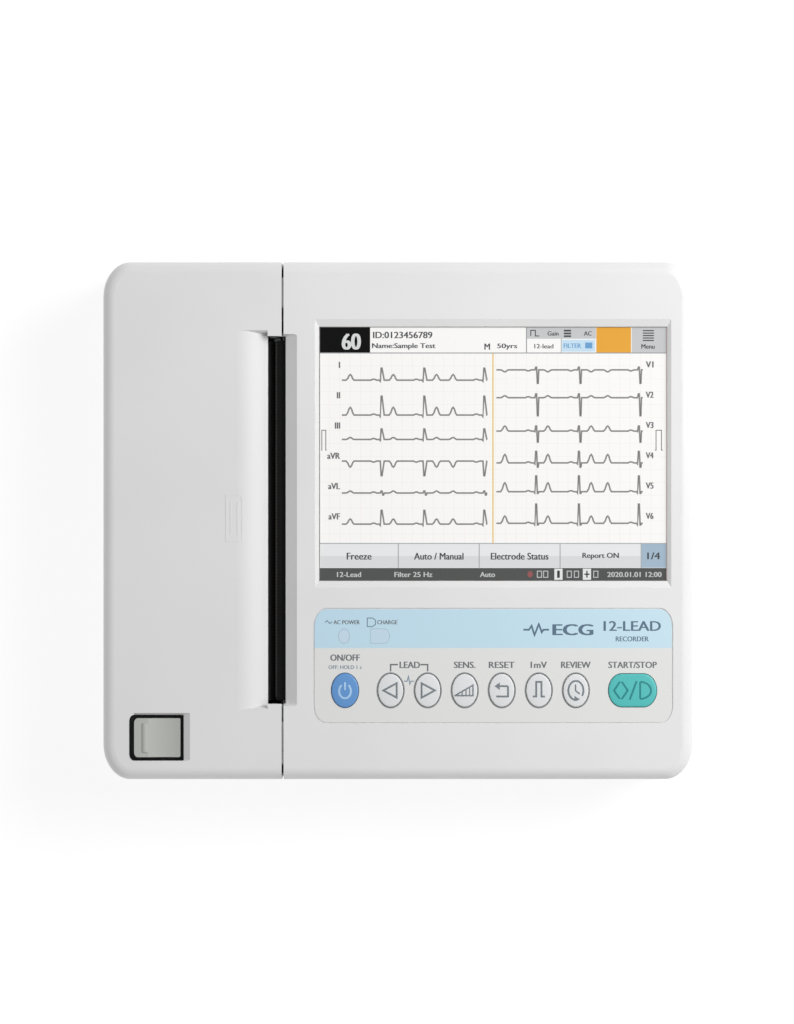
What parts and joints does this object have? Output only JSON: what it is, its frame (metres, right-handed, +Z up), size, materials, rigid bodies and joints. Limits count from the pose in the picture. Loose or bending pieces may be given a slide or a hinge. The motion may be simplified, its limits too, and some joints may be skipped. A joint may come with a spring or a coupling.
{
  "type": "electrocardiograph",
  "caption": "Desk-top electrocardiograph: flat case with a touch display, a key panel and a hinged, latched cover over the paper tray and thermal printer.",
  "frame": {"origin": "on the supporting surface, under the middle of the case", "axes": "+X to the right of a user facing the display, +Y to the back, +Z up"},
  "size_m": [0.3615, 0.3168, 0.091],
  "materials": {
    "cover_shell": "fine-textured moulded ABS",
    "top_shell": "fine-textured moulded ABS",
    "base_shell": "fine-textured moulded ABS",
    "dark_plastic": "moulded, fine texture",
    "inner_plastic": "moulded, plain",
    "grey_plastic": "moulded, fine texture",
    "panel_film": "printed polyester film",
    "key_grey": "satin moulded key",
    "key_blue": "satin moulded key",
    "key_green": "satin moulded key",
    "lens": "clear tinted light pipe",
    "silicone": "silicone",
    "rubber_black": "rubber, satin",
    "foam_black": "closed-cell foam",
    "touch_glass": "anti-glare glass",
    "lcd_frame": "pressed steel frame with a lit face",
    "board_green": "solder mask over glass-epoxy",
    "steel": "zinc plated",
    "black_steel": "black coated",
    "spring_steel": "bright spring steel",
    "aluminium": "extruded, milled",
    "brass": "plated brass",
    "ceramic": "glazed ceramic on a plate",
    "battery_wrap": "shrink-wrapped cells",
    "acetal": "acetal",
    "cable_film": "flat flexible cable"
  },
  "bodies": {
    "root": {"bottom_case": "base_shell", "top_case": "top_shell", "rear_panel": "inner_plastic", "rubber_feet": "rubber_black", "screws": "steel", "display_gasket": "foam_black", "display_glass": "touch_glass", "lcd_module": "lcd_frame", "lcd_bracket": "steel", "panel_overlay": "panel_film", "keypad_mat": "silicone", "led_lenses": "lens", "keypad_board": "board_green", "hinge_pin": "steel", "printer_chassis": "steel", "stepper_motor": "steel", "idler_shaft": "steel", "head_pivot_shaft": "steel", "tear_bar": "black_steel", "paper_tray": "grey_plastic", "cover_switch": "dark_plastic", "head_ribbon_cable": "cable_film", "latch_keeper": "steel", "battery_door": "base_shell", "battery_pack": "battery_wrap", "speaker": "dark_plastic", "ac_inlet": "dark_plastic", "ac_inlet_pins": "brass", "equipotential_pin": "brass", "lan_port": "steel", "usb_ports": "steel", "patient_connector": "dark_plastic", "connector_jackposts": "steel", "main_board": "board_green", "power_board": "board_green"},
    "cover": {"paper_cover": "cover_shell", "cover_liner": "grey_plastic", "platen_brackets": "inner_plastic", "platen_bushes": "acetal", "latch_housing": "dark_plastic"},
    "platen": {"platen_roller": "rubber_black", "platen_shaft": "steel", "platen_gear": "acetal"},
    "idler": {"idler_gear": "acetal"},
    "pinion": {"motor_pinion": "brass", "motor_shaft": "steel"},
    "head": {"thermal_head": "ceramic", "head_heatsink": "aluminium", "head_springs": "spring_steel"},
    "latch": {"latch_button": "grey_plastic", "latch_bar": "steel", "latch_spring": "spring_steel"},
    "key_power_cap": {"key_power": "key_blue"},
    "key_lead_back_cap": {"key_lead_back": "key_grey"},
    "key_lead_next_cap": {"key_lead_next": "key_grey"},
    "key_sensitivity_cap": {"key_sensitivity": "key_grey"},
    "key_reset_cap": {"key_reset": "key_grey"},
    "key_calibration_cap": {"key_calibration": "key_grey"},
    "key_review_cap": {"key_review": "key_grey"},
    "key_start_cap": {"key_start": "key_green"}
  },
  "joints": [
    {"name": "cover_hinge", "type": "hinge", "parent": "root", "child": "cover", "pos_m": [-0.1784, -0.041, 0.046], "axis": [0, -1, 0], "range_deg": [0, 95]},
    {"name": "latch_slide", "type": "slide", "parent": "cover", "child": "latch", "axis": [-1, 0, 0], "range_m": [0, 0.0028], "stiffness_N_per_m": 300, "deforming": ["latch_spring"]},
    {"name": "platen_spin", "type": "hinge", "parent": "cover", "child": "platen", "pos_m": [-0.083, 0, 0.0685], "axis": [0, 1, 0], "continuous": true},
    {"name": "idler_spin", "type": "hinge", "parent": "root", "child": "idler", "pos_m": [-0.0722, 0.1235, 0.04979], "axis": [0, 1, 0], "continuous": true},
    {"name": "pinion_spin", "type": "hinge", "parent": "root", "child": "pinion", "pos_m": [-0.0638, 0.1235, 0.03524], "axis": [0, 1, 0], "continuous": true},
    {"name": "head_pivot", "type": "hinge", "parent": "root", "child": "head", "pos_m": [-0.0703, 0, 0.056], "axis": [0, 1, 0], "range_deg": [0, 1], "stiffness_Nm_per_rad": 1},
    {"name": "key_power_press", "type": "slide", "parent": "root", "child": "key_power_cap", "axis": [0, 0, -1], "range_m": [0, 0.0008], "stiffness_N_per_m": 400, "deforming": ["keypad_mat"]},
    {"name": "key_lead_back_press", "type": "slide", "parent": "root", "child": "key_lead_back_cap", "axis": [0, 0, -1], "range_m": [0, 0.0008], "stiffness_N_per_m": 400, "deforming": ["keypad_mat"]},
    {"name": "key_lead_next_press", "type": "slide", "parent": "root", "child": "key_lead_next_cap", "axis": [0, 0, -1], "range_m": [0, 0.0008], "stiffness_N_per_m": 400, "deforming": ["keypad_mat"]},
    {"name": "key_sensitivity_press", "type": "slide", "parent": "root", "child": "key_sensitivity_cap", "axis": [0, 0, -1], "range_m": [0, 0.0008], "stiffness_N_per_m": 400, "deforming": ["keypad_mat"]},
    {"name": "key_reset_press", "type": "slide", "parent": "root", "child": "key_reset_cap", "axis": [0, 0, -1], "range_m": [0, 0.0008], "stiffness_N_per_m": 400, "deforming": ["keypad_mat"]},
    {"name": "key_calibration_press", "type": "slide", "parent": "root", "child": "key_calibration_cap", "axis": [0, 0, -1], "range_m": [0, 0.0008], "stiffness_N_per_m": 400, "deforming": ["keypad_mat"]},
    {"name": "key_review_press", "type": "slide", "parent": "root", "child": "key_review_cap", "axis": [0, 0, -1], "range_m": [0, 0.0008], "stiffness_N_per_m": 400, "deforming": ["keypad_mat"]},
    {"name": "key_start_press", "type": "slide", "parent": "root", "child": "key_start_cap", "axis": [0, 0, -1], "range_m": [0, 0.0008], "stiffness_N_per_m": 400, "deforming": ["keypad_mat"]}
  ],
  "couplings": [
    {"joint": "idler_spin", "follows": "platen_spin", "ratio": -0.8},
    {"joint": "pinion_spin", "follows": "platen_spin", "ratio": 2}
  ]
}
